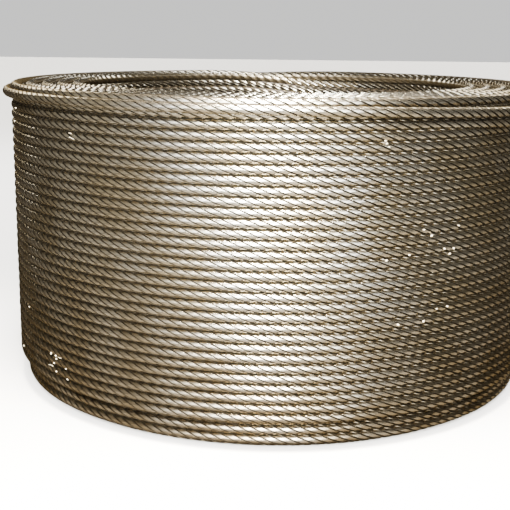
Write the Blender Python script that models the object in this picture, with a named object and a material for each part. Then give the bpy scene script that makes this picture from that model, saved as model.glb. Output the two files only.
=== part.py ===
"""Coil of wire rope, standing on its end.

One turned solid with its bore. Every turn of the rope that shows on the outside or on the two
ends is cut into its outline as an eight-sided ring, and the layers nest in each other's grooves.
The turns on the bore's wall are plain ridges.
Metres, +Z up, origin at the centre of the bore on the plane that the coil stands on.
"""
import math

import bpy
from mathutils import Vector

# Driving dimensions
ROPE_DIAMETER = 0.010
BORE_DIAMETER = 0.450
FULL_LAYERS = 9
TURNS_HIGH = 34

# The last full layer starts this many turns above the lower end
BARE_TURNS = 3

# The layer begun over it: its number of turns, and how many turns it lies below the upper end
BEGUN_TURNS = 1
BEGUN_BELOW_TOP = 1

# Facets round the coil, and sides of one turn's section
COIL_SEGMENTS = 24
TURN_SIDES = 8

# A section's corner nearer than this to a neighbour's contact lies in the groove between the two
GROOVE_ANGLE = math.radians(30.0)

STEEL_COLOUR = (0.36, 0.31, 0.24, 1.0)
STEEL_ROUGHNESS = 0.42
STEEL_METALLIC = 0.85

MERGE_DISTANCE = 0.00005

TURN_RADIUS = ROPE_DIAMETER / 2.0
LAYER_STEP = ROPE_DIAMETER * math.sin(math.radians(60.0))
INNER_TURN_RADIUS = BORE_DIAMETER / 2.0 + TURN_RADIUS
LAST_LAYER = FULL_LAYERS - 1


def clear_scene():
    """Remove every object that the file opened with."""
    for item in list(bpy.data.objects):
        bpy.data.objects.remove(item, do_unlink=True)


def turn_at(layer, place):
    """Centre of a turn's section; places count up from the lower end, half a turn in between."""
    return Vector((INNER_TURN_RADIUS + layer * LAYER_STEP, 0.0, place * ROPE_DIAMETER))


def end_inset(layer):
    """Places from an end to the first turn: every other layer is nested half a turn further in."""
    return 0.5 if layer % 2 == 0 else 1.0


def turns_down(layer, first, last):
    """Centres of a layer's turns from place first down to place last."""
    count = round(first - last) + 1
    return [turn_at(layer, first - index) for index in range(count)]


def showing_turns():
    """Centres of the turns on the outline, from the bore's upper rim round to its lower rim."""
    upper_end = [turn_at(layer, TURNS_HIGH - end_inset(layer)) for layer in range(LAST_LAYER)]

    nesting = 0.5
    top_place = TURNS_HIGH - end_inset(LAST_LAYER)
    bottom_place = BARE_TURNS + end_inset(LAST_LAYER)
    begun_top = top_place + nesting - BEGUN_BELOW_TOP
    begun_bottom = begun_top - BEGUN_TURNS + 1
    side = turns_down(LAST_LAYER, top_place, begun_top + nesting)
    side += turns_down(LAST_LAYER + 1, begun_top, begun_bottom)
    side += turns_down(LAST_LAYER, begun_bottom - nesting, bottom_place)

    below = LAST_LAYER - 1
    side += turns_down(below, bottom_place - nesting, end_inset(below))

    lower_end = [turn_at(layer, end_inset(layer)) for layer in reversed(range(below))]
    return upper_end + side + lower_end


def bearing(start, end):
    """Angle of the way from one centre to another, in the plane of the section."""
    return math.atan2(end.z - start.z, end.x - start.x)


def open_corners(previous, turn, following):
    """Corners of a turn's section that face out, clockwise between its two neighbours."""
    start = bearing(turn, previous)
    sweep = (start - bearing(turn, following)) % math.tau
    reach = TURN_RADIUS / math.cos(math.pi / TURN_SIDES)
    corners = []
    for index in range(TURN_SIDES):
        angle = math.tau * (index + 0.5) / TURN_SIDES
        travelled = (start - angle) % math.tau
        if GROOVE_ANGLE < travelled < sweep - GROOVE_ANGLE:
            corner = turn + Vector((reach * math.cos(angle), 0.0, reach * math.sin(angle)))
            corners.append((travelled, corner))
    corners.sort(key=lambda entry: entry[0])
    return [corner for travelled, corner in corners]


def groove(turn, following):
    """Bottom of the groove where two turns touch, half a side's length out from their contact."""
    way = (following - turn).normalized()
    outwards = Vector((-way.z, 0.0, way.x))
    return (turn + following) / 2.0 + outwards * (TURN_RADIUS * math.tan(math.pi / TURN_SIDES))


def bore_ridges(lowest, highest):
    """Outline up the bore from one turn to another: a groove, a crown, a groove and so on."""
    count = round((highest.z - lowest.z) / ROPE_DIAMETER)
    points = []
    for index in range(count):
        turn = Vector((INNER_TURN_RADIUS, 0.0, lowest.z + index * ROPE_DIAMETER))
        following = Vector((INNER_TURN_RADIUS, 0.0, turn.z + ROPE_DIAMETER))
        points.append(groove(turn, following))
        if index < count - 1:
            points.append(Vector((BORE_DIAMETER / 2.0, 0.0, following.z)))
    return points


def coil_profile():
    """Closed outline of the coil's wall at +X: upper end, outside, lower end and up the bore."""
    turns = showing_turns()
    one_up = Vector((0.0, 0.0, ROPE_DIAMETER))
    before = [turns[0] - one_up] + turns[:-1]
    after = turns[1:] + [turns[-1] + one_up]
    points = []
    for previous, turn, following in zip(before, turns, after):
        points += open_corners(previous, turn, following)
        if turn is not turns[-1]:
            points.append(groove(turn, following))
    return points + bore_ridges(turns[-1], turns[0])


def steel_material():
    """Greased drawn steel wire."""
    material = bpy.data.materials.new("wire_rope_steel")
    material.use_nodes = True
    shader = material.node_tree.nodes["Principled BSDF"]
    shader.inputs["Base Color"].default_value = STEEL_COLOUR
    shader.inputs["Roughness"].default_value = STEEL_ROUGHNESS
    shader.inputs["Metallic"].default_value = STEEL_METALLIC
    return material


def build_coil():
    """Turn the outline round the coil's axis."""
    points = coil_profile()
    count = len(points)
    mesh = bpy.data.meshes.new("wire_rope_coil")
    mesh.from_pydata(points, [(index, (index + 1) % count) for index in range(count)], [])
    mesh.materials.append(steel_material())
    coil = bpy.data.objects.new("wire_rope_coil", mesh)
    bpy.context.scene.collection.objects.link(coil)

    turned = coil.modifiers.new("Turned", "SCREW")
    turned.axis = "Z"
    turned.angle = math.tau
    turned.screw_offset = 0.0
    turned.steps = COIL_SEGMENTS
    turned.render_steps = COIL_SEGMENTS
    turned.use_merge_vertices = True
    turned.merge_threshold = MERGE_DISTANCE
    turned.use_smooth_shade = True
    return coil


clear_scene()
build_coil()
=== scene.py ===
"""Looks of a coil of greased steel wire rope that stands on its end.

The rope is laid up from its real path: level turns that step over by one diameter at the back of
the coil, layer on layer. Geometry Nodes sweep the six-strand section along that path.
Metres, +Z up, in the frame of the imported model.
"""
import logging
import math
import random
from dataclasses import dataclass, field
from enum import Enum
from typing import Any, Optional, Sequence

import bmesh
import bpy
import numpy as np
from mathutils import Matrix, Vector


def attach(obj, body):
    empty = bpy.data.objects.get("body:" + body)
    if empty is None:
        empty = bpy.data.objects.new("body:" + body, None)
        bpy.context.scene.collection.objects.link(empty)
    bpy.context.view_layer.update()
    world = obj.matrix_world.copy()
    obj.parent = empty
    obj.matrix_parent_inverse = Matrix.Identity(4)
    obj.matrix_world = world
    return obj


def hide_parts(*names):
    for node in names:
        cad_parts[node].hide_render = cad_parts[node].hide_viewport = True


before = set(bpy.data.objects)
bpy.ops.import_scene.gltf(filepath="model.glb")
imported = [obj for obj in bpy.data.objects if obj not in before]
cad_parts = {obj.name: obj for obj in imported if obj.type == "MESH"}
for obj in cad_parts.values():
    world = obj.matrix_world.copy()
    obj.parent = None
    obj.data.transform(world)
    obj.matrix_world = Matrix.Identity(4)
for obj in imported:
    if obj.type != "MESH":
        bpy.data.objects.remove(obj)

logging.basicConfig(level=logging.INFO, format="%(message)s")
LOG = logging.getLogger("wire_rope_coil")

COIL_NODE = "wire_rope_coil"
BODY = "root"
ROPE_UV = "rope_uv"
EXPOSURE = "exposure"
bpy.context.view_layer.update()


class Face(Enum):
    """Side of the coil that a stretch of rope shows on: its share of radial and of upward."""

    OUTSIDE = (1.0, 0.0)
    BORE = (-1.0, 0.0)
    UPPER_END = (0.0, 1.0)
    LOWER_END = (0.0, -1.0)


@dataclass(frozen=True)
class SectionDetail:
    """How finely the rope's section is swept.

    Points a strand, the spacing of the rings along the rope in rope diameters, and the fold in
    degrees past which an edge along a strand is sharp.
    """

    points_per_strand: int
    ring_spacing: float
    crease_angle: float


FINE = SectionDetail(points_per_strand=5, ring_spacing=0.65, crease_angle=42.0)
MEDIUM = SectionDetail(points_per_strand=3, ring_spacing=0.50, crease_angle=72.0)
PLAIN = SectionDetail(points_per_strand=2, ring_spacing=0.75, crease_angle=72.0)


@dataclass(frozen=True)
class CoilSizes:
    """Driving sizes of the rope and of the way it is wound."""

    rope_diameter: float = 0.010
    bore_diameter: float = 0.450
    full_layers: int = 9
    turns_high: int = 34
    bare_turns: int = 3
    strands: int = 6
    lay_in_diameters: float = 7.2
    crossover_half_angle: float = 20.0

    @property
    def turn_radius(self) -> float:
        """Radius of the rope's section."""
        return self.rope_diameter / 2.0

    @property
    def layer_step(self) -> float:
        """Radial distance between two nested layers."""
        return self.rope_diameter * math.sin(math.radians(60.0))

    @property
    def lay_length(self) -> float:
        """Length of rope in which a strand goes once round."""
        return self.rope_diameter * self.lay_in_diameters

    @property
    def last_layer(self) -> int:
        """Number of the outermost full layer, counted from nought at the bore."""
        return self.full_layers - 1

    def radius(self, layer: int) -> float:
        """Radius of a layer, to the middle of its rope."""
        return self.bore_diameter / 2.0 + self.turn_radius + layer * self.layer_step

    def height(self, place: float) -> float:
        """Height of a place, counted in turns from the lower end."""
        return place * self.rope_diameter

    def station(self, layer: int, place: float) -> tuple[float, float]:
        """Radius and height of a turn."""
        return self.radius(layer), self.height(place)


@dataclass(frozen=True)
class Nudge:
    """A stretch of one turn that is pushed out of its place.

    Angles are degrees from the photographed side, counted to the right. The turn leaves its place
    from start to full, and comes back from fall to end.
    """

    turn: int
    start: float
    full: float
    fall: float
    end: float
    outwards: float
    upwards: float

    def share(self, angle: float) -> float:
        """How far the turn is out of its place at an angle, from 0 to 1."""
        back = smooth_step(self.fall, self.end, angle)
        return smooth_step(self.start, self.full, angle) * (1.0 - back)


def smooth_step(low: float, high: float, value: float) -> float:
    """Ease from 0 at low to 1 at high."""
    share = min(max((value - low) / (high - low), 0.0), 1.0)
    return share * share * (3.0 - 2.0 * share)


@dataclass
class RopeStretch:
    """A stretch of rope through a list of stations, one for each turn.

    Every turn is level and steps over to the next station at the back of the coil, where it
    rides a little higher over the turns below.
    """

    sizes: CoilSizes
    stations: Sequence[tuple[float, float]]
    first_angle: float
    last_angle: float
    nudges: Sequence[Nudge] = ()
    wobble_seed: int = 1
    wobble: float = 0.00016
    wobble_waves: int = 5
    waves_in_a_radian: tuple[float, float] = (0.4, 3.7)
    highest_climb: float = 2.0

    def place(self, angle: float) -> tuple[float, float]:
        """Radius and height of the rope at an angle counted on through all its turns.

        Args:
            angle: Degrees, where station 0 reaches from -180 to 180 and each next one 360 on.

        Returns:
            Radius and height of the middle of the rope.
        """
        half = self.sizes.crossover_half_angle
        count = len(self.stations)
        turn = min(max(int((angle + 180.0) // 360.0), 0), count - 1)
        local = angle - 360.0 * turn
        before, after, share = turn, turn, 0.0
        if local > 180.0 - half and turn + 1 < count:
            after = turn + 1
            share = smooth_step(180.0 - half, 180.0 + half, local)
        elif local < -180.0 + half and turn > 0:
            before = turn - 1
            share = smooth_step(-180.0 - half, -180.0 + half, local)
        low, high = self.stations[before], self.stations[after]
        radius = low[0] + (high[0] - low[0]) * share
        height = low[1] + (high[1] - low[1]) * share
        climb = abs(high[1] - low[1]) / self.sizes.rope_diameter
        ride_up = self.sizes.rope_diameter - self.sizes.layer_step
        hump = 4.0 * share * (1.0 - share)
        radius += ride_up * min(climb, self.highest_climb) * hump
        for nudge in self.nudges:
            if nudge.turn == turn:
                radius += nudge.outwards * nudge.share(local)
                height += nudge.upwards * nudge.share(local)
        return radius, height

    def points(self, step: float = 2.0) -> list[Vector]:
        """Points along the middle of the rope.

        Args:
            step: Degrees between two points.

        Returns:
            The points, in the order in which the rope was wound.
        """
        rng = random.Random(self.wobble_seed)
        waves = [
            (rng.uniform(*self.waves_in_a_radian), rng.uniform(0.0, math.tau))
            for _ in range(self.wobble_waves)
        ]
        count = max(2, round((self.last_angle - self.first_angle) / step) + 1)
        found = []
        for index in range(count):
            share = index / (count - 1)
            angle = self.first_angle + (self.last_angle - self.first_angle) * share
            radius, height = self.place(angle)
            turn = math.radians(angle)
            sway = sum(math.sin(rate * turn + phase) for rate, phase in waves) / len(waves)
            radius += self.wobble * sway
            found.append(Vector((radius * math.sin(turn), -radius * math.cos(turn), height)))
        return found


class TreeMaker:
    """Adds nodes to a node tree and joins their sockets."""

    def __init__(self, tree: bpy.types.NodeTree) -> None:
        """Keep the tree."""
        self.tree = tree

    def add(self, kind: str, inputs: Optional[dict[Any, Any]] = None, **settings: Any) -> bpy.types.Node:
        """Add a node.

        Args:
            kind: Blender's name of the node's type.
            inputs: Value or output socket for each input, by name or number.
            settings: Properties of the node itself.

        Returns:
            The new node.
        """
        node = self.tree.nodes.new(kind)
        for name, value in settings.items():
            setattr(node, name, value)
        for name, value in (inputs or {}).items():
            socket = node.inputs[name]
            if isinstance(value, bpy.types.NodeSocket):
                self.tree.links.new(value, socket)
            else:
                socket.default_value = value
        return node

    def math(self, operation: str, first: Any, second: Any = 0.0, third: Any = 0.0) -> bpy.types.NodeSocket:
        """Output of a Math node."""
        node = self.add("ShaderNodeMath", {0: first, 1: second, 2: third}, operation=operation)
        return node.outputs[0]

    def vector(self, operation: str, first: Any, second: Any = (0.0, 0.0, 0.0)) -> bpy.types.NodeSocket:
        """Output of a Vector Math node: its number where the operation gives one."""
        node = self.add("ShaderNodeVectorMath", {0: first, 1: second}, operation=operation)
        return node.outputs["Value" if operation in {"DOT_PRODUCT", "LENGTH"} else "Vector"]

    def scaled(self, vector: Any, factor: Any) -> bpy.types.NodeSocket:
        """A vector times a number."""
        node = self.add("ShaderNodeVectorMath", {0: vector, "Scale": factor}, operation="SCALE")
        return node.outputs["Vector"]

    def ramp(self, value: Any, low: float, high: float, start: float = 0.0, end: float = 1.0) -> Any:
        """A value eased from start to end while it goes from low to high."""
        node = self.add(
            "ShaderNodeMapRange",
            {"Value": value, "From Min": low, "From Max": high, "To Min": start, "To Max": end},
            interpolation_type="SMOOTHSTEP",
        )
        return node.outputs["Result"]

    def blend(self, factor: Any, first: Any, second: Any, mode: str = "MIX") -> bpy.types.NodeSocket:
        """Colour between two colours.

        Args:
            factor: Share of the second colour.
            first: Value or output socket of the first colour.
            second: Value or output socket of the second colour.
            mode: Blender's name of the way in which they are mixed.

        Returns:
            The mixed colour.
        """
        node = self.add("ShaderNodeMix", data_type="RGBA", blend_type=mode)
        for name, value in (("Factor_Float", factor), ("A_Color", first), ("B_Color", second)):
            socket = next(item for item in node.inputs if item.identifier == name)
            if isinstance(value, bpy.types.NodeSocket):
                self.tree.links.new(value, socket)
            else:
                socket.default_value = value
        return next(item for item in node.outputs if item.identifier == "Result_Color")


class RopeTree:
    """Geometry Nodes that sweep a stranded section along a path of edges."""

    INPUTS = (
        ("Rope Diameter", "NodeSocketFloat"),
        ("Lay Length", "NodeSocketFloat"),
        ("Crown Radius", "NodeSocketFloat"),
        ("Valley Depth", "NodeSocketFloat"),
        ("Strands", "NodeSocketInt"),
        ("Points per Strand", "NodeSocketInt"),
        ("Ring Spacing", "NodeSocketFloat"),
        ("Crease Angle", "NodeSocketFloat"),
        ("Start Length", "NodeSocketFloat"),
        ("Outward Share", "NodeSocketFloat"),
        ("Upward Share", "NodeSocketFloat"),
        ("Finish", "NodeSocketMaterial"),
    )
    SHOULDER_SPREAD = math.radians(8.2)
    CROWN_SPREAD = math.radians(3.9)
    CROWN_FLATNESS = 0.26

    def __init__(self) -> None:
        """Build the tree."""
        self.tree = bpy.data.node_groups.new("stranded_rope", "GeometryNodeTree")
        face = self.tree.interface
        face.new_socket("Geometry", in_out="INPUT", socket_type="NodeSocketGeometry")
        for name, kind in self.INPUTS:
            face.new_socket(name, in_out="INPUT", socket_type=kind)
        face.new_socket("Geometry", in_out="OUTPUT", socket_type="NodeSocketGeometry")
        self.maker = TreeMaker(self.tree)
        self.given = self.maker.add("NodeGroupInput").outputs
        swept = self._sweep(self._path(), self._section())
        self._finish(swept)

    def _path(self) -> bpy.types.NodeSocket:
        """Path with rings at the wanted spacing, twisted at the rope's lay.

        Returns:
            The path, which keeps its length so far and its own place.
        """
        make, given = self.maker, self.given
        curve = make.add("GeometryNodeMeshToCurve", {"Mesh": given["Geometry"]})
        spacing = make.math("MULTIPLY", given["Ring Spacing"], given["Rope Diameter"])
        even = make.add(
            "GeometryNodeResampleCurve", {"Curve": curve.outputs["Curve"], "Length": spacing}, mode="LENGTH"
        )
        upright = make.add("GeometryNodeSetCurveNormal", {"Curve": even.outputs["Curve"]}, mode="Z_UP")
        along = make.math(
            "ADD", make.add("GeometryNodeSplineParameter").outputs["Length"], given["Start Length"]
        )
        twist = make.math("MULTIPLY", make.math("DIVIDE", along, given["Lay Length"]), math.tau)
        tilted = make.add("GeometryNodeSetCurveTilt", {"Curve": upright.outputs["Curve"], "Tilt": twist})
        kept = self._store(tilted.outputs["Curve"], "along", along, "FLOAT", "POINT")
        middle = make.add("GeometryNodeInputPosition").outputs["Position"]
        return self._store(kept, "middle", middle, "FLOAT_VECTOR", "POINT")

    def _section(self) -> bpy.types.NodeSocket:
        """Outline of the rope: a valley between each two strands, and the strands' shoulders.

        Returns:
            The outline, which keeps the strand that each point lies on.
        """
        make, given = self.maker, self.given
        count = make.math("MULTIPLY", given["Strands"], given["Points per Strand"])
        circle = make.add(
            "GeometryNodeCurvePrimitiveCircle",
            {"Resolution": count, "Radius": given["Crown Radius"]}, mode="RADIUS",
        )
        index = make.add("GeometryNodeInputIndex").outputs["Index"]
        place = make.math("DIVIDE", index, given["Points per Strand"])
        phase = make.math("FRACT", place)
        arch = make.math("SINE", make.math("MULTIPLY", phase, math.pi))
        swell = make.math("POWER", arch, self.CROWN_FLATNESS)
        hollow = make.math("MULTIPLY", make.math("SUBTRACT", 1.0, swell), given["Valley Depth"])
        reach = make.math("SUBTRACT", given["Crown Radius"], hollow)
        swing = make.math("SINE", make.math("MULTIPLY", phase, math.tau))
        twice = make.math("SINE", make.math("MULTIPLY", phase, 2.0 * math.tau))
        spread = make.math(
            "SUBTRACT",
            make.math("MULTIPLY", swing, self.SHOULDER_SPREAD),
            make.math("MULTIPLY", twice, self.CROWN_SPREAD),
        )
        round_turn = make.math("MULTIPLY", make.math("DIVIDE", place, given["Strands"]), math.tau)
        angle = make.math("SUBTRACT", round_turn, spread)
        across = make.math("MULTIPLY", reach, make.math("COSINE", angle))
        up = make.math("MULTIPLY", reach, make.math("SINE", angle))
        corner = make.add("ShaderNodeCombineXYZ", {"X": across, "Y": up}).outputs["Vector"]
        shaped = make.add(
            "GeometryNodeSetPosition", {"Geometry": circle.outputs["Curve"], "Position": corner}
        )
        return self._store(shaped.outputs["Geometry"], "strand", place, "FLOAT", "POINT")

    def _sweep(self, path: bpy.types.NodeSocket, section: bpy.types.NodeSocket) -> bpy.types.NodeSocket:
        """Sweep the section, then keep the strand coordinate and the exposure on the mesh.

        Args:
            path: Middle of the rope.
            section: Outline of the rope.

        Returns:
            The swept mesh.
        """
        make, given = self.maker, self.given
        swept = make.add(
            "GeometryNodeCurveToMesh", {"Curve": path, "Profile Curve": section, "Fill Caps": True}
        ).outputs["Mesh"]

        strand = self._read("strand", "FLOAT")
        mean = make.add("GeometryNodeFieldOnDomain", {0: strand}, data_type="FLOAT", domain="FACE")
        behind = make.math("GREATER_THAN", make.math("SUBTRACT", mean.outputs[0], strand), 1.0)
        unwrapped = make.math("ADD", strand, make.math("MULTIPLY", behind, given["Strands"]))
        along = self._read("along", "FLOAT")
        pair = make.add("ShaderNodeCombineXYZ", {"X": unwrapped, "Y": along}).outputs["Vector"]
        mapped = self._store(swept, ROPE_UV, pair, "FLOAT2", "CORNER")

        position = make.add("GeometryNodeInputPosition").outputs["Position"]
        middle = self._read("middle", "FLOAT_VECTOR")
        radial = make.vector("NORMALIZE", make.vector("MULTIPLY", middle, (1.0, 1.0, 0.0)))
        upward = make.add("ShaderNodeCombineXYZ", {"Z": given["Upward Share"]}).outputs["Vector"]
        outward = make.vector("ADD", make.scaled(radial, given["Outward Share"]), upward)
        reach = make.vector("DOT_PRODUCT", make.vector("SUBTRACT", position, middle), outward)
        share = make.math("DIVIDE", reach, make.math("MULTIPLY", given["Rope Diameter"], 0.5))
        return self._store(mapped, EXPOSURE, share, "FLOAT", "POINT")

    def _finish(self, swept: bpy.types.NodeSocket) -> None:
        """Crease the valleys and the cut ends, smooth the rest, and set the material.

        Args:
            swept: The swept mesh.
        """
        make = self.maker
        fold = make.add("GeometryNodeInputMeshEdgeAngle").outputs["Unsigned Angle"]
        creased = make.math("GREATER_THAN", fold, self.given["Crease Angle"])
        smooth = make.add(
            "GeometryNodeSetShadeSmooth", {"Geometry": swept, "Shade Smooth": True}, domain="FACE"
        )
        edged = make.add(
            "GeometryNodeSetShadeSmooth",
            {"Geometry": smooth.outputs["Geometry"], "Selection": creased, "Shade Smooth": False},
            domain="EDGE",
        )
        real = make.add("GeometryNodeRealizeInstances", {"Geometry": edged.outputs["Geometry"]})
        dressed = make.add(
            "GeometryNodeSetMaterial",
            {"Geometry": real.outputs["Geometry"], "Material": self.given["Finish"]},
        )
        make.add("NodeGroupOutput", {"Geometry": dressed.outputs["Geometry"]})

    def _store(self, geometry: Any, name: str, value: Any, data_type: str, domain: str) -> Any:
        """Keep a value under a name.

        Args:
            geometry: What the value is kept on.
            name: Its name.
            value: Output socket that gives it.
            data_type: Blender's name of its type.
            domain: Blender's name of the elements that it belongs to.

        Returns:
            The geometry with the value.
        """
        node = self.maker.add(
            "GeometryNodeStoreNamedAttribute", {"Geometry": geometry, "Name": name},
            data_type=data_type, domain=domain,
        )
        socket = next(item for item in node.inputs if item.name == "Value" and item.enabled)
        self.maker.tree.links.new(value, socket)
        return node.outputs["Geometry"]

    def _read(self, name: str, data_type: str) -> bpy.types.NodeSocket:
        """A value kept under a name."""
        node = self.maker.add("GeometryNodeInputNamedAttribute", {"Name": name}, data_type=data_type)
        return next(item for item in node.outputs if item.name == "Attribute" and item.enabled)

    def identifier(self, name: str) -> str:
        """Find an input's identifier, by which a modifier's value is set.

        Args:
            name: Name of the input.

        Returns:
            Its identifier.
        """
        for item in self.tree.interface.items_tree:
            if item.in_out == "INPUT" and item.name == name:
                return item.identifier
        raise KeyError(name)

    def sweep(self, name: str, path: Sequence[Vector], values: dict[str, Any]) -> bpy.types.Object:
        """Lay a rope along a path and turn the result into a plain mesh.

        Args:
            name: Name of the piece.
            path: Points along the middle of the rope.
            values: Value for each named input of the tree.

        Returns:
            The finished piece, at the origin.
        """
        wire = bpy.data.meshes.new(name + "_path")
        wire.from_pydata(path, [(index, index + 1) for index in range(len(path) - 1)], [])
        holder = bpy.data.objects.new(name + "_path", wire)
        bpy.context.scene.collection.objects.link(holder)
        modifier = holder.modifiers.new("Stranded rope", "NODES")
        modifier.node_group = self.tree
        for key, value in values.items():
            modifier[self.identifier(key)] = value
        depsgraph = bpy.context.evaluated_depsgraph_get()
        mesh = bpy.data.meshes.new_from_object(holder.evaluated_get(depsgraph), depsgraph=depsgraph)
        bpy.data.objects.remove(holder)
        mesh.name = name
        point_outwards(mesh)
        for spare in ("strand", "along", "middle"):
            if spare in mesh.attributes:
                mesh.attributes.remove(mesh.attributes[spare])
        piece = bpy.data.objects.new(name, mesh)
        bpy.context.scene.collection.objects.link(piece)
        return piece


def point_outwards(mesh: bpy.types.Mesh) -> None:
    """Turn a closed mesh right side out if its volume comes out negative.

    Args:
        mesh: The mesh.
    """
    mesh.calc_loop_triangles()
    corners = np.zeros(len(mesh.loop_triangles) * 3, np.int32)
    mesh.loop_triangles.foreach_get("vertices", corners)
    places = np.zeros(len(mesh.vertices) * 3)
    mesh.vertices.foreach_get("co", places)
    sides = places.reshape(-1, 3)[corners.reshape(-1, 3)]
    volume = np.einsum("ij,ij->i", sides[:, 0], np.cross(sides[:, 1], sides[:, 2])).sum() / 6.0
    if volume < 0.0:
        mesh.flip_normals()


def mottled_tone() -> bpy.types.NodeTree:
    """Shader node group, built once: broad patches and a fine grain at a place.

    Returns:
        The group, with input Place and outputs Patches and Grain.
    """
    made = bpy.data.node_groups.get("mottled_tone")
    if made:
        return made
    group = bpy.data.node_groups.new("mottled_tone", "ShaderNodeTree")
    group.interface.new_socket("Place", in_out="INPUT", socket_type="NodeSocketVector")
    group.interface.new_socket("Patches", in_out="OUTPUT", socket_type="NodeSocketFloat")
    group.interface.new_socket("Grain", in_out="OUTPUT", socket_type="NodeSocketFloat")
    make = TreeMaker(group)
    place = make.add("NodeGroupInput").outputs["Place"]
    end = make.add("NodeGroupOutput")
    for output, scale, detail in (("Patches", 17.0, 4.0), ("Grain", 420.0, 2.0)):
        noise = make.add("ShaderNodeTexNoise", {"Vector": place, "Scale": scale, "Detail": detail})
        group.links.new(noise.outputs["Fac"], end.inputs[output])
    return group


@dataclass(frozen=True)
class RopeFinish:
    """Drawn steel wire with a thin film of tan grease, and painted shade: near black down in the grooves
    between turns and dark between the strands.

    A pair is the two values between which an effect comes in. Across a strand they run from 0 on
    its crown to 1 between two strands, and exposure is 1 where the rope faces straight out.
    """

    name: str = "greased_wire_rope"
    steel: tuple[float, float, float, float] = (0.48, 0.475, 0.44, 1.0)
    worn_steel: tuple[float, float, float, float] = (0.40, 0.37, 0.295, 1.0)
    grease: tuple[float, float, float, float] = (0.34, 0.29, 0.200, 1.0)
    # painted shade: near-black colour painted down in the grooves between turns
    painted_groove_shade: tuple[float, float, float, float] = (0.055, 0.043, 0.026, 1.0)
    # painted shade: dark colour painted between the strands
    painted_gap_shade: tuple[float, float, float, float] = (0.015, 0.012, 0.008, 1.0)
    grazing: tuple[float, float, float, float] = (0.45, 0.40, 0.33, 1.0)
    # browner, darker tone that the lower turns go towards
    lower_tone: tuple[float, float, float, float] = (0.17, 0.138, 0.090, 1.0)
    wires_over_strand: float = 8.0
    wire_spacing: float = 0.20
    wire_depth: float = 0.00022
    wire_strength: float = 0.35
    wire_height_on_crown: float = 0.20
    strand_edge: tuple[float, float] = (0.15, 0.50)
    # where across a strand the painted shade between strands comes in, how it wavers with the wires, and
    # how it fades into the groove
    strand_gap: tuple[float, float] = (0.43, 0.55)
    gap_unevenness: float = 0.20
    gap_exposure: tuple[float, float] = (0.10, 0.60)
    least_gap: float = 0.10
    # exposure range over which the painted groove shade comes in
    groove_exposure: tuple[float, float] = (0.46, 0.06)
    grease_exposure: tuple[float, float] = (0.97, 0.55)
    grease_on_edge: float = 0.45
    grease_grain: tuple[float, float] = (0.25, 0.65)
    least_grease: float = 0.45
    # the turns get browner and darker towards the lower end, in broad patches
    lower_tone_height: tuple[float, float] = (0.25, -0.02)
    lower_tone_patches: tuple[float, float] = (0.25, 0.60)
    least_lower_tone: float = 0.65
    worn_patches: tuple[float, float] = (0.40, 0.62)
    steel_grain: tuple[float, float] = (0.3, 0.7)
    steel_roughness: tuple[float, float] = (0.14, 0.20)
    grease_roughness: float = 0.07
    # roughness added where the grooves and the gaps between strands are painted in shade
    painted_shade_roughness: float = 0.30

    def build(self, sizes: CoilSizes) -> bpy.types.Material:
        """Build the material.

        Args:
            sizes: Sizes of the rope, which set the scale of its wires.

        Returns:
            The material.
        """
        material = bpy.data.materials.new(self.name)
        material.use_nodes = True
        tree = material.node_tree
        make = TreeMaker(tree)
        shader = tree.nodes["Principled BSDF"]

        uv = make.add("ShaderNodeUVMap", uv_map=ROPE_UV).outputs["UV"]
        parts = make.add("ShaderNodeSeparateXYZ", {"Vector": uv}).outputs
        strand, along = parts["X"], parts["Y"]
        phase = make.math("FRACT", strand)
        across = make.math("SUBTRACT", make.math("MULTIPLY", phase, 2.0), 1.0)
        from_crown = make.math("ABSOLUTE", across)
        edge = make.ramp(from_crown, *self.strand_edge)

        pitch = self.wire_spacing * sizes.rope_diameter
        wires = make.math(
            "ADD",
            make.math("MULTIPLY", strand, self.wires_over_strand),
            make.math("DIVIDE", along, pitch),
        )
        off_wire = make.math(
            "SUBTRACT", make.math("MULTIPLY", make.math("FRACT", wires), 2.0), 1.0
        )
        arch = make.math("SUBTRACT", 1.0, make.math("MULTIPLY", off_wire, off_wire))
        round_wire = make.math("SQRT", make.math("MAXIMUM", arch, 0.0))
        relief = make.ramp(edge, 0.0, 1.0, self.wire_height_on_crown, 1.0)
        wire_height = make.math("MULTIPLY", round_wire, relief)
        between = make.math("MULTIPLY", make.math("SUBTRACT", 1.0, round_wire), self.gap_unevenness)
        parted = make.ramp(make.math("ADD", from_crown, between), *self.strand_gap)

        seen = make.add("ShaderNodeAttribute", attribute_name=EXPOSURE).outputs["Fac"]
        place = make.add("ShaderNodeTexCoord").outputs["Object"]
        height = make.add("ShaderNodeSeparateXYZ", {"Vector": place}).outputs["Z"]
        mottle = make.add("ShaderNodeGroup", {"Place": place}, node_tree=mottled_tone()).outputs
        broad, fine = mottle["Patches"], mottle["Grain"]

        on_edge = make.math("MULTIPLY", edge, self.grease_on_edge)
        film = make.math("MAXIMUM", make.ramp(seen, *self.grease_exposure), on_edge)
        # browner and darker towards the lower end, in broad patches
        uneven = make.ramp(broad, *self.lower_tone_patches, self.least_lower_tone, 1.0)
        lowered = make.math("MULTIPLY", make.ramp(height, *self.lower_tone_height), uneven)
        streaks = make.ramp(fine, *self.grease_grain, self.least_grease, 1.0)
        smeared = make.math("MULTIPLY", film, streaks)
        # painted shade: the rope is painted near black where it turns into the groove between turns
        deep = make.ramp(seen, *self.groove_exposure)
        # painted shade: dark between the strands, faded where the rope turns into the groove
        open_gap = make.ramp(seen, *self.gap_exposure, self.least_gap, 1.0)
        valley = make.math("MULTIPLY", parted, open_gap)
        # both painted shade masks together, which also make the surface rougher
        painted_shade = make.math("MAXIMUM", deep, valley)

        clean = make.blend(make.ramp(broad, *self.worn_patches), self.steel, self.worn_steel)
        oiled = make.blend(lowered, make.blend(smeared, clean, self.grease), self.lower_tone)
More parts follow.
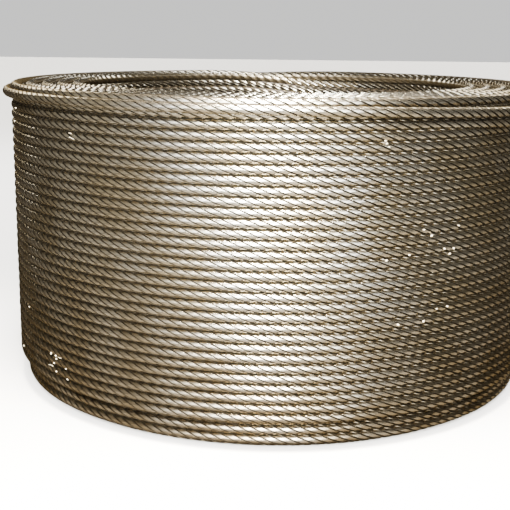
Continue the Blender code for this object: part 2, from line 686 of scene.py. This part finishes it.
        # painted shade goes on last: near black in the grooves between turns, then dark between the strands
        colour = make.blend(valley, make.blend(deep, oiled, self.painted_groove_shade), self.painted_gap_shade)
        tree.links.new(colour, shader.inputs["Base Color"])
        shader.inputs["Metallic"].default_value = 1.0
        shader.inputs["Specular Tint"].default_value = self.grazing
        bright = make.ramp(fine, *self.steel_grain, *self.steel_roughness)
        rough = make.math("ADD", bright, make.math("MULTIPLY", smeared, self.grease_roughness))
        rough = make.math("ADD", rough, make.math("MULTIPLY", painted_shade, self.painted_shade_roughness))
        tree.links.new(rough, shader.inputs["Roughness"])

        bump = make.add("ShaderNodeBump", {
            "Height": wire_height, "Distance": self.wire_depth, "Strength": self.wire_strength,
        })
        tree.links.new(bump.outputs["Normal"], shader.inputs["Normal"])
        return material


@dataclass(frozen=True)
class PlainFinish:
    """A surface of one tone with a faint grain."""

    name: str
    colour: tuple[float, float, float, float]
    roughness: float
    metallic: float = 0.0
    grain: float = 0.08

    def build(self) -> bpy.types.Material:
        """Build the material.

        Returns:
            The material.
        """
        material = bpy.data.materials.new(self.name)
        material.use_nodes = True
        tree = material.node_tree
        make = TreeMaker(tree)
        shader = tree.nodes["Principled BSDF"]
        place = make.add("ShaderNodeTexCoord").outputs["Object"]
        noise = make.add("ShaderNodeGroup", {"Place": place}, node_tree=mottled_tone()).outputs["Grain"]
        dark = tuple(channel * (1.0 - self.grain) for channel in self.colour[:3]) + (1.0,)
        tree.links.new(make.blend(noise, dark, self.colour), shader.inputs["Base Color"])
        shader.inputs["Roughness"].default_value = self.roughness
        shader.inputs["Metallic"].default_value = self.metallic
        return material


@dataclass(frozen=True)
class LitterGroup:
    """A stretch of the outside turns where chips and fibres lie.

    Its middle and how far it spreads each way, in degrees from the photographed side and metres.
    Each chip's place is drawn at random inside it.
    """

    angle: float
    height: float
    angle_spread: float
    height_spread: float
    chips: int
    fibres: int


@dataclass
class Litter:
    """Pale chips and fibres that lie on the outside turns, as one piece.

    A pair is the range that a size is drawn from at random.
    """

    sizes: CoilSizes
    groups: tuple[LitterGroup, ...] = (
        LitterGroup(angle=28.0, height=0.200, angle_spread=9.0, height_spread=0.020, chips=8, fibres=0),
        LitterGroup(angle=30.0, height=0.125, angle_spread=10.0, height_spread=0.012, chips=4, fibres=0),
        LitterGroup(angle=20.0, height=0.295, angle_spread=9.0, height_spread=0.012, chips=3, fibres=0),
        LitterGroup(angle=-48.0, height=0.050, angle_spread=4.0, height_spread=0.014, chips=9, fibres=2),
        LitterGroup(angle=-41.0, height=0.295, angle_spread=1.0, height_spread=0.012, chips=0, fibres=2),
        LitterGroup(
            angle=177.5, height=0.1775, angle_spread=122.5, height_spread=0.1375, chips=46, fibres=12
        ),
    )
    finish: PlainFinish = PlainFinish("pale_chips", (0.80, 0.68, 0.47, 1.0), 0.7, grain=0.3)
    seed: int = 5
    foot_reach: float = 1.01
    steepest_sine: float = 0.7
    chip_length: tuple[float, float] = (0.0018, 0.0034)
    chip_corners: tuple[int, ...] = (5, 6, 7)
    chip_thickness: tuple[float, float] = (0.0005, 0.0009)
    chip_narrowness: tuple[float, float] = (0.5, 0.9)
    chip_raggedness: tuple[float, float] = (0.7, 1.0)
    chip_sunk: float = 0.0004
    chip_top: float = 0.8
    fibre_length: tuple[float, float] = (0.004, 0.008)
    fibre_radius: tuple[float, float] = (0.00022, 0.00034)
    fibre_slant: float = 0.25
    fibre_bend: float = 0.10
    fibre_rings: int = 7
    fibre_sides: int = 5

    def foothold(self, angle: float, height: float) -> Matrix:
        """Frame of the rope's surface at a place: X along the rope, Z out of it.

        Args:
            angle: Degrees from the photographed side.
            height: Metres above the lower end.

        Returns:
            The frame.
        """
        sizes = self.sizes
        middle = sizes.height(math.floor(height / sizes.rope_diameter) + 0.5)
        reach = sizes.turn_radius * self.foot_reach
        steep = self.steepest_sine
        lean = math.asin(max(-steep, min(steep, (height - middle) / reach)))
        turn = math.radians(angle)
        outwards = Vector((math.sin(turn), -math.cos(turn), 0.0))
        along = Vector((math.cos(turn), math.sin(turn), 0.0))
        out = outwards * math.cos(lean) + Vector((0.0, 0.0, math.sin(lean)))
        spot = outwards * sizes.radius(sizes.last_layer) + Vector((0.0, 0.0, middle)) + out * reach
        turned = Matrix((along, out.cross(along), out)).transposed()
        return Matrix.Translation(spot) @ turned.to_4x4()

    def place_in(self, group: LitterGroup, rng: random.Random) -> Matrix:
        """Draw a place on the rope's surface inside a group.

        Args:
            group: The group.
            rng: Source of the random places.

        Returns:
            The surface's frame there.
        """
        angle = group.angle + group.angle_spread * rng.uniform(-1.0, 1.0)
        height = group.height + group.height_spread * rng.uniform(-1.0, 1.0)
        return self.foothold(angle, height)

    def add_chip(self, form: bmesh.types.BMesh, group: LitterGroup, rng: random.Random) -> None:
        """Add an uneven flat chip that lies on the surface.

        Args:
            form: Mesh that it is added to.
            group: Where it lies.
            rng: Source of its random place and shape.
        """
        frame_at = self.place_in(group, rng)
        length = rng.uniform(*self.chip_length)
        corners = rng.choice(self.chip_corners)
        thick = rng.uniform(*self.chip_thickness)
        start = rng.uniform(0.0, math.tau)
        narrow = rng.uniform(*self.chip_narrowness)
        rim = []
        for index in range(corners):
            turn = start + math.tau * index / corners
            reach = 0.5 * length * rng.uniform(*self.chip_raggedness)
            rim.append((reach * math.cos(turn), narrow * reach * math.sin(turn)))
        top = self.chip_top
        low = [form.verts.new(frame_at @ Vector((x, y, -self.chip_sunk))) for x, y in rim]
        high = [form.verts.new(frame_at @ Vector((top * x, top * y, thick))) for x, y in rim]
        form.faces.new(reversed(low))
        form.faces.new(high)
        for index in range(corners):
            after = (index + 1) % corners
            form.faces.new((low[index], low[after], high[after], high[index]))

    def add_fibre(self, form: bmesh.types.BMesh, group: LitterGroup, rng: random.Random) -> None:
        """Add a thin bent fibre that lies along the rope.

        Args:
            form: Mesh that it is added to.
            group: Where it lies.
            rng: Source of its random place and shape.
        """
        frame_at = self.place_in(group, rng)
        length = rng.uniform(*self.fibre_length)
        thick = rng.uniform(*self.fibre_radius)
        slant = rng.uniform(-self.fibre_slant, self.fibre_slant)
        bend = rng.uniform(-self.fibre_bend, self.fibre_bend) * length
        rings = []
        for step in range(self.fibre_rings):
            share = step / (self.fibre_rings - 1)
            along = (share - 0.5) * length
            side = slant * along + bend * math.sin(math.pi * share)
            width = thick * (0.5 + 0.5 * math.sin(math.pi * (0.1 + 0.8 * share)))
            ring = []
            for corner in range(self.fibre_sides):
                turn = math.tau * corner / self.fibre_sides
                spot = Vector((along, side + width * math.cos(turn), width * math.sin(turn)))
                ring.append(form.verts.new(frame_at @ spot))
            rings.append(ring)
        for before, after in zip(rings, rings[1:]):
            for corner in range(self.fibre_sides):
                following = (corner + 1) % self.fibre_sides
                form.faces.new((before[corner], before[following], after[following], after[corner]))
        form.faces.new(reversed(rings[0]))
        form.faces.new(rings[-1])

    def build(self) -> bpy.types.Object:
        """Build the chips and fibres.

        Returns:
            The one piece that holds them.
        """
        rng = random.Random(self.seed)
        form = bmesh.new()
        for group in self.groups:
            for _ in range(group.chips):
                self.add_chip(form, group, rng)
            for _ in range(group.fibres):
                self.add_fibre(form, group, rng)
        bmesh.ops.recalc_face_normals(form, faces=form.faces)
        mesh = bpy.data.meshes.new("litter_on_the_turns")
        form.to_mesh(mesh)
        form.free()
        mesh.materials.append(self.finish.build())
        piece = bpy.data.objects.new("litter_on_the_turns", mesh)
        bpy.context.scene.collection.objects.link(piece)
        LOG.info("litter_on_the_turns: %d faces", len(mesh.polygons))
        return piece


@dataclass
class WireRopeCoil:
    """The coil: every stretch of rope that shows, and the turns hidden behind them."""

    sizes: CoilSizes
    finish: RopeFinish = field(default_factory=RopeFinish)
    crown_radius: float = 0.00515
    valley_depth: float = 0.00100
    turns_per_piece: float = 10.5
    end_stretch_from: float = 150.0
    end_stretch_to: float = 930.0
    hidden_inset: float = 1.3
    hidden_sides: int = 96
    merge_distance: float = 0.00001
    # painted shade: the plain ring that stands for the hidden inner turns is near black
    hidden_finish: PlainFinish = PlainFinish("hidden_turns_in_shade", (0.05, 0.035, 0.02, 1.0), 0.6)
    layers: RopeTree = field(default_factory=RopeTree)

    def outside_stretch(self) -> RopeStretch:
        """The rope's last stretch: the bare turns, the last full layer and the turn begun over it.

        Returns:
            The stretch. The begun turn slants down by one diameter across the photographed side,
            and to its right a turn of the last layer stands out.
        """
        sizes = self.sizes
        last = sizes.last_layer
        bare = [sizes.station(last - 1, float(place)) for place in range(sizes.bare_turns + 1, 0, -1)]
        wall = [
            sizes.station(last, place + 0.5) for place in range(sizes.bare_turns, sizes.turns_high)
        ]
        begun_place = sizes.turns_high - 1.0
        stations = bare + wall + [sizes.station(last + 1, begun_place)]
        begun = len(stations) - 1
        lifted = begun - 3
        return RopeStretch(
            sizes, stations, first_angle=120.0, last_angle=begun * 360.0 + 150.0,
            nudges=(
                Nudge(turn=begun, start=-10.0, full=80.0, fall=500.0, end=501.0,
                      outwards=0.0, upwards=-sizes.rope_diameter),
                Nudge(turn=begun, start=-10.0, full=35.0, fall=35.0, end=80.0,
                      outwards=0.0013, upwards=0.0),
                Nudge(turn=lifted, start=28.0, full=56.0, fall=75.0, end=120.0,
                      outwards=0.0075, upwards=-0.0035),
            ),
        )

    def upper_stretch(self, layer: int) -> RopeStretch:
        """Last turn of a rising layer and first turn of the next one, at the upper end.

        Args:
            layer: Number of the rising layer.

        Returns:
            The stretch.
        """
        sizes = self.sizes
        high = float(sizes.turns_high)
        stations = [
            sizes.station(layer, high - 1.5),
            sizes.station(layer, high - 0.5),
            sizes.station(layer + 1, high - 1.0),
            sizes.station(layer + 1, high - 2.0),
        ]
        return RopeStretch(
            sizes, stations, self.end_stretch_from, self.end_stretch_to, wobble_seed=20 + layer
        )

    def lower_stretch(self, layer: int) -> RopeStretch:
        """Last turn of a falling layer and first turn of the next one, at the lower end.

        Args:
            layer: Number of the falling layer.

        Returns:
            The stretch.
        """
        sizes = self.sizes
        stations = [
            sizes.station(layer, 2.0),
            sizes.station(layer, 1.0),
            sizes.station(layer + 1, 0.5),
            sizes.station(layer + 1, 1.5),
        ]
        return RopeStretch(
            sizes, stations, self.end_stretch_from, self.end_stretch_to, wobble_seed=40 + layer
        )

    def bore_stretch(self) -> RopeStretch:
        """The innermost layer, from the rope's inner end up to its last turn but one.

        Returns:
            The stretch.
        """
        sizes = self.sizes
        stations = [sizes.station(0, place + 0.5) for place in range(sizes.turns_high)]
        last_angle = (sizes.turns_high - 2) * 360.0 + 175.0
        return RopeStretch(sizes, stations, -150.0, last_angle, wobble_seed=7)

    def lay(self, name: str, stretch: RopeStretch, face: Face, detail: SectionDetail,
            material: bpy.types.Material) -> list[bpy.types.Object]:
        """Lay a stretch of rope as one or more pieces that meet end to end.

        Args:
            name: Name of the stretch.
            stretch: Where the rope runs.
            face: Side of the coil that it shows on.
            detail: How finely it is swept.
            material: Its finish.

        Returns:
            The pieces.
        """
        turns = (stretch.last_angle - stretch.first_angle) / 360.0
        count = math.ceil(turns / self.turns_per_piece)
        path = stretch.points()
        steps = [(second - first).length for first, second in zip(path, path[1:])]
        lengths = [0.0, *np.cumsum(steps)]
        made = []
        for index in range(count):
            first = round((len(path) - 1) * index / count)
            last = round((len(path) - 1) * (index + 1) / count)
            title = name if count == 1 else f"{name}_{index + 1}"
            piece = self.layers.sweep(title, path[first:last + 1], {
                "Rope Diameter": self.sizes.rope_diameter,
                "Lay Length": self.sizes.lay_length,
                "Crown Radius": self.crown_radius,
                "Valley Depth": self.valley_depth,
                "Strands": self.sizes.strands,
                "Points per Strand": detail.points_per_strand,
                "Ring Spacing": detail.ring_spacing,
                "Crease Angle": math.radians(detail.crease_angle),
                "Start Length": lengths[first],
                "Outward Share": face.value[0],
                "Upward Share": face.value[1],
                "Finish": material,
            })
            made.append(piece)
            LOG.info("%s: %d faces", title, len(piece.data.polygons))
        return made

    def hidden_turns(self, material: bpy.types.Material) -> bpy.types.Object:
        """The turns inside the wall, which nothing shows, as one plain ring.

        Args:
            material: Its finish.

        Returns:
            The ring.
        """
        sizes = self.sizes
        inner, outer = sizes.radius(0), sizes.radius(sizes.last_layer - 1)
        low = sizes.height(self.hidden_inset)
        high = sizes.height(sizes.turns_high - self.hidden_inset)
        form = bmesh.new()
        corners = [(inner, low), (outer, low), (outer, high), (inner, high)]
        ring = [form.verts.new((radius, 0.0, height)) for radius, height in corners]
        edges = [form.edges.new((ring[index], ring[(index + 1) % 4])) for index in range(4)]
        bmesh.ops.spin(form, geom=ring + edges, cent=(0, 0, 0), axis=(0, 0, 1), angle=math.tau,
                       steps=self.hidden_sides, use_merge=True, use_duplicate=False)
        bmesh.ops.remove_doubles(form, verts=form.verts, dist=self.merge_distance)
        bmesh.ops.recalc_face_normals(form, faces=form.faces)
        mesh = bpy.data.meshes.new("hidden_turns")
        form.to_mesh(mesh)
        form.free()
        mesh.materials.append(material)
        ring_piece = bpy.data.objects.new("hidden_turns", mesh)
        bpy.context.scene.collection.objects.link(ring_piece)
        return ring_piece

    def build(self) -> list[bpy.types.Object]:
        """Build the whole coil and set it in the frame.

        Returns:
            Its pieces.
        """
        material = self.finish.build(self.sizes)
        dark = self.hidden_finish.build()
        pieces = self.lay("outside_turns", self.outside_stretch(), Face.OUTSIDE, FINE, material)
        for layer in range(0, self.sizes.last_layer, 2):
            name = f"upper_end_turns_{layer // 2 + 1}"
            pieces += self.lay(name, self.upper_stretch(layer), Face.UPPER_END, MEDIUM, material)
        for layer in range(1, self.sizes.last_layer - 1, 2):
            name = f"lower_end_turns_{layer // 2 + 1}"
            pieces += self.lay(name, self.lower_stretch(layer), Face.LOWER_END, MEDIUM, material)
        pieces += self.lay("bore_turns", self.bore_stretch(), Face.BORE, PLAIN, material)
        pieces.append(self.hidden_turns(dark))
        pieces.append(Litter(self.sizes).build())
        for piece in pieces:
            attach(piece, BODY)
            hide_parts(COIL_NODE)
        return pieces


@dataclass(frozen=True)
class PhotoCamera:
    """Camera at the photograph's place, in metres and degrees."""

    distance: float = 1.202
    height: float = 0.4006
    looks_down: float = 12.782
    pans_right: float = -0.991
    rolls: float = 0.614
    lens: float = 70.67
    sensor: float = 36.0
    nearest: float = 0.05
    farthest: float = 60.0

    def build(self) -> bpy.types.Object:
        """Place the camera and make it the scene's own.

        Returns:
            The camera.
        """
        down = math.radians(self.looks_down)
        pan = math.radians(self.pans_right)
        roll = math.radians(self.rolls)
        ahead = Vector((
            math.sin(pan) * math.cos(down), math.cos(pan) * math.cos(down), -math.sin(down),
        ))
        level = Vector((math.cos(pan), -math.sin(pan), 0.0))
        rise = level.cross(ahead)
        right = math.cos(roll) * level + math.sin(roll) * rise
        up = -math.sin(roll) * level + math.cos(roll) * rise
        turn = Matrix((right, up, -ahead)).transposed()
        data = bpy.data.cameras.new("photo_camera")
        data.lens = self.lens
        data.sensor_width = self.sensor
        data.clip_start = self.nearest
        data.clip_end = self.farthest
        camera = bpy.data.objects.new("photo_camera", data)
        camera.matrix_world = Matrix.Translation((0.0, -self.distance, self.height)) @ turn.to_4x4()
        bpy.context.scene.collection.objects.link(camera)
        bpy.context.scene.camera = camera
        return camera


@dataclass(frozen=True)
class SoftLight:
    """A rectangular soft light, its place and the point that it faces."""

    name: str
    place: tuple[float, float, float]
    target: tuple[float, float, float]
    width: float
    height: float
    power: float
    spread: float = 180.0
    colour: tuple[float, float, float] = (1.0, 1.0, 1.0)

    def build(self) -> bpy.types.Object:
        """Place the light.

        Returns:
            The light.
        """
        data = bpy.data.lights.new(self.name, "AREA")
        data.shape = "RECTANGLE"
        data.size = self.width
        data.size_y = self.height
        data.energy = self.power
        data.spread = math.radians(self.spread)
        data.color = self.colour
        lamp = bpy.data.objects.new(self.name, data)
        lamp.visible_camera = False
        way = Vector(self.target) - Vector(self.place)
        turn = way.to_track_quat("-Z", "Y").to_matrix().to_4x4()
        lamp.matrix_world = Matrix.Translation(self.place) @ turn
        bpy.context.scene.collection.objects.link(lamp)
        return lamp


@dataclass
class Studio:
    """Pale floor, pale surroundings and soft lights.

    The camera sees the backdrop and the floor pale. The coil is lit by a warm glow that is
    brightest towards glow_from, and by one smooth bright window in it.
    """

    floor_reach: float = 12.0
    floor_finish: PlainFinish = PlainFinish("studio_floor", (0.80, 0.79, 0.77, 1.0), 0.7, grain=0.02)
    backdrop: tuple[float, float, float, float] = (0.95, 0.95, 0.94, 1.0)
    bounce: tuple[float, float, float, float] = (1.0, 0.87, 0.64, 1.0)
    fill: float = 0.78
    behind: float = 0.22
    glow_from: tuple[float, float, float] = (-0.55, -0.83, 0.0)
    glow_reach: tuple[float, float] = (-0.2, 1.0)
    window_from: tuple[float, float, float] = (-0.02, -0.985, 0.17)
    window_glow: float = 54.0
    window_narrowness: float = 10.5
    window_tone: tuple[float, float, float, float] = (1.0, 0.98, 0.94, 1.0)
    squeeze: tuple[float, float, float] = (1.0, 1.0, 0.6)
    floor_bounce: tuple[float, float, float, float] = (0.078, 0.066, 0.047, 1.0)
    lights: tuple[SoftLight, ...] = (
        SoftLight(
            "front_window", place=(0.0, -1.60, 0.86), target=(0.0, -0.28, 0.20),
            width=0.60, height=0.60, power=50.0, spread=110.0,
        ),
        SoftLight(
            "over_front", place=(0.0, -0.64, 1.80), target=(0.0, -0.60, 0.0),
            width=0.6, height=0.5, power=75.0, spread=55.0, colour=(1.0, 0.92, 0.80),
        ),
        SoftLight(
            "ceiling", place=(0.0, 0.0, 2.40), target=(0.0, 0.0, 0.0),
            width=1.4, height=1.4, power=35.0, colour=(1.0, 0.94, 0.86),
        ),
        SoftLight(
            "back_left", place=(-1.3, 1.7, 1.4), target=(0.0, 0.25, 0.2),
            width=1.0, height=0.8, power=40.0,
        ),
        SoftLight(
            "back_right", place=(1.3, 1.7, 1.4), target=(0.0, 0.25, 0.2),
            width=1.0, height=0.8, power=40.0,
        ),
    )

    def floor_material(self) -> bpy.types.Material:
        """Pale floor to the camera, which throws little light back at the coil.

        Returns:
            The material.
        """
        material = self.floor_finish.build()
        make = TreeMaker(material.node_tree)
        shader = material.node_tree.nodes["Principled BSDF"]
        pale = shader.inputs["Base Color"].links[0].from_socket
        seen = make.add("ShaderNodeLightPath").outputs["Is Camera Ray"]
        dim = make.blend(1.0, pale, self.floor_bounce, mode="MULTIPLY")
        material.node_tree.links.new(make.blend(seen, dim, pale), shader.inputs["Base Color"])
        return material

    def build(self) -> None:
        """Build the floor, the surroundings and the lights."""
        mesh = bpy.data.meshes.new("studio_floor")
        reach = self.floor_reach
        quarters = ((-1.0, -1.0), (1.0, -1.0), (1.0, 1.0), (-1.0, 1.0))
        corners = [(reach * across, reach * deep, 0.0) for across, deep in quarters]
        mesh.from_pydata(corners, [], [(0, 1, 2, 3)])
        mesh.materials.append(self.floor_material())
        floor = bpy.data.objects.new("studio_floor", mesh)
        bpy.context.scene.collection.objects.link(floor)

        world = bpy.data.worlds.new("pale_surroundings")
        bpy.context.scene.world = world
        world.use_nodes = True
        make = TreeMaker(world.node_tree)
        shader = world.node_tree.nodes["Background"]
        seen = make.add("ShaderNodeLightPath").outputs["Is Camera Ray"]
        way = make.add("ShaderNodeTexCoord").outputs["Generated"]
        front = make.vector("DOT_PRODUCT", way, self.glow_from)
        dim = make.ramp(front, *self.glow_reach, self.fill * self.behind, self.fill)
        squeezed = make.vector("NORMALIZE", make.vector("MULTIPLY", way, self.squeeze))
        ahead = make.math("MAXIMUM", make.vector("DOT_PRODUCT", squeezed, self.window_from), 0.0)
        window = make.math(
            "MULTIPLY", make.math("POWER", ahead, self.window_narrowness), self.window_glow
        )
        glow = make.math("ADD", dim, window)
        strength = make.math("MAXIMUM", glow, seen)
        tinted = make.blend(make.math("DIVIDE", window, glow), self.bounce, self.window_tone)
        tone = make.blend(seen, tinted, self.backdrop)
        world.node_tree.links.new(tone, shader.inputs["Color"])
        world.node_tree.links.new(strength, shader.inputs["Strength"])
        for light in self.lights:
            light.build()


def write_sizes() -> None:
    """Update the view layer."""
    bpy.context.view_layer.update()


def main() -> None:
    """Build the camera, the coil and the studio."""
    PhotoCamera().build()
    coil = WireRopeCoil(CoilSizes())
    pieces = coil.build()
    Studio().build()
    LOG.info("coil: %d pieces", len(pieces))
    write_sizes()


if __name__ == "__main__":
    main()
